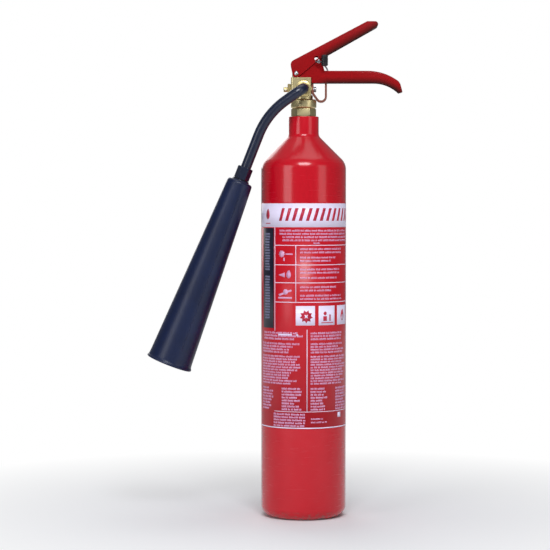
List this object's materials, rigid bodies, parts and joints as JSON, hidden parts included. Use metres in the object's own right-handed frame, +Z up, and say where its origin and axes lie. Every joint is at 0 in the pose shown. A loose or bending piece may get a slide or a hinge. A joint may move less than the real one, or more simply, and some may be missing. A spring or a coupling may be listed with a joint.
{
  "type": "fire extinguisher",
  "caption": "Portable carbon dioxide fire extinguisher: steel bottle, brass squeeze-grip valve with carry handle and safety pin, and a discharge horn on a swivelling pipe.",
  "frame": {"origin": "on the bottle's axis, in the plane of its foot ring", "axes": "+Z up along the bottle, +X out along the carry handle, -Y towards the front, where the pipe leaves the valve"},
  "size_m": [0.3044, 0.1129, 0.5949],
  "materials": {
    "bottle_paint": "glossy red powder coat",
    "label_print": "glossy printed film",
    "brass": "machined, lightly tarnished",
    "lever_paint": "glossy red paint",
    "bright_steel": "bright plated",
    "plated_steel": "zinc plated",
    "black_steel": "satin black paint",
    "horn_plastic": "moulded, satin black",
    "seal_rubber": "matt black",
    "seat_plastic": "off-white",
    "black_plastic": "matt black",
    "tube_aluminium": "drawn",
    "spring_steel": "drawn wire",
    "copper": "soft copper"
  },
  "bodies": {
    "bottle_and_valve": {"bottle": "bottle_paint", "label": "label_print", "neck_o_ring": "seal_rubber", "valve_body": "brass", "gland_nut": "brass", "stem_o_ring": "seal_rubber", "valve_spring": "spring_steel", "spring_retainer": "brass", "dip_tube": "tube_aluminium", "burst_disc": "bright_steel", "burst_disc_gasket": "copper", "burst_disc_nut": "brass", "carry_handle": "lever_paint", "lever_pin": "bright_steel", "hanger_loop": "plated_steel", "handle_screw": "plated_steel", "handle_screw_washer": "plated_steel", "union_nut": "brass", "outlet_o_ring": "seal_rubber"},
    "discharge_arm": {"pipe_collar": "black_steel", "discharge_pipe": "black_steel", "horn_nut": "black_steel", "horn_washer": "plated_steel", "gas_jet": "brass", "horn": "horn_plastic"},
    "lever": {"squeeze_lever": "lever_paint"},
    "stem": {"push_rod": "bright_steel", "seat_disc": "seat_plastic", "seat_plunger": "brass"},
    "locking_pin": {"safety_pin": "bright_steel", "tamper_seal": "black_plastic"},
    "ring": {"pull_ring": "bright_steel"}
  },
  "joints": [
    {"name": "horn_swing", "type": "hinge", "parent": "bottle_and_valve", "child": "discharge_arm", "pos_m": [0, -0.02, 0.51403], "axis": [0, 1, 0], "range_deg": [-5, 110]},
    {"name": "lever_squeeze", "type": "hinge", "parent": "bottle_and_valve", "child": "lever", "pos_m": [-0.0087, 0, 0.53303], "axis": [0, 1, 0], "range_deg": [0, 10], "stiffness_Nm_per_rad": 1.5, "springref_deg": -8.59},
    {"name": "stem_slide", "type": "slide", "parent": "bottle_and_valve", "child": "stem", "axis": [0, 0, -1], "range_m": [0, 0.0027], "deforming": ["valve_spring"]},
    {"name": "safety_pin_pull", "type": "slide", "parent": "bottle_and_valve", "child": "locking_pin", "axis": [0, 1, 0], "range_m": [0, 0.045], "deforming": ["tamper_seal"]},
    {"name": "pull_ring_swing", "type": "hinge", "parent": "locking_pin", "child": "ring", "pos_m": [0.018, 0.018, 0.54653], "axis": [1, 0, 0], "range_deg": [-10, 100]}
  ],
  "couplings": [
    {"joint": "stem_slide", "follows": "lever_squeeze", "m_per_rad": 0.0152}
  ]
}
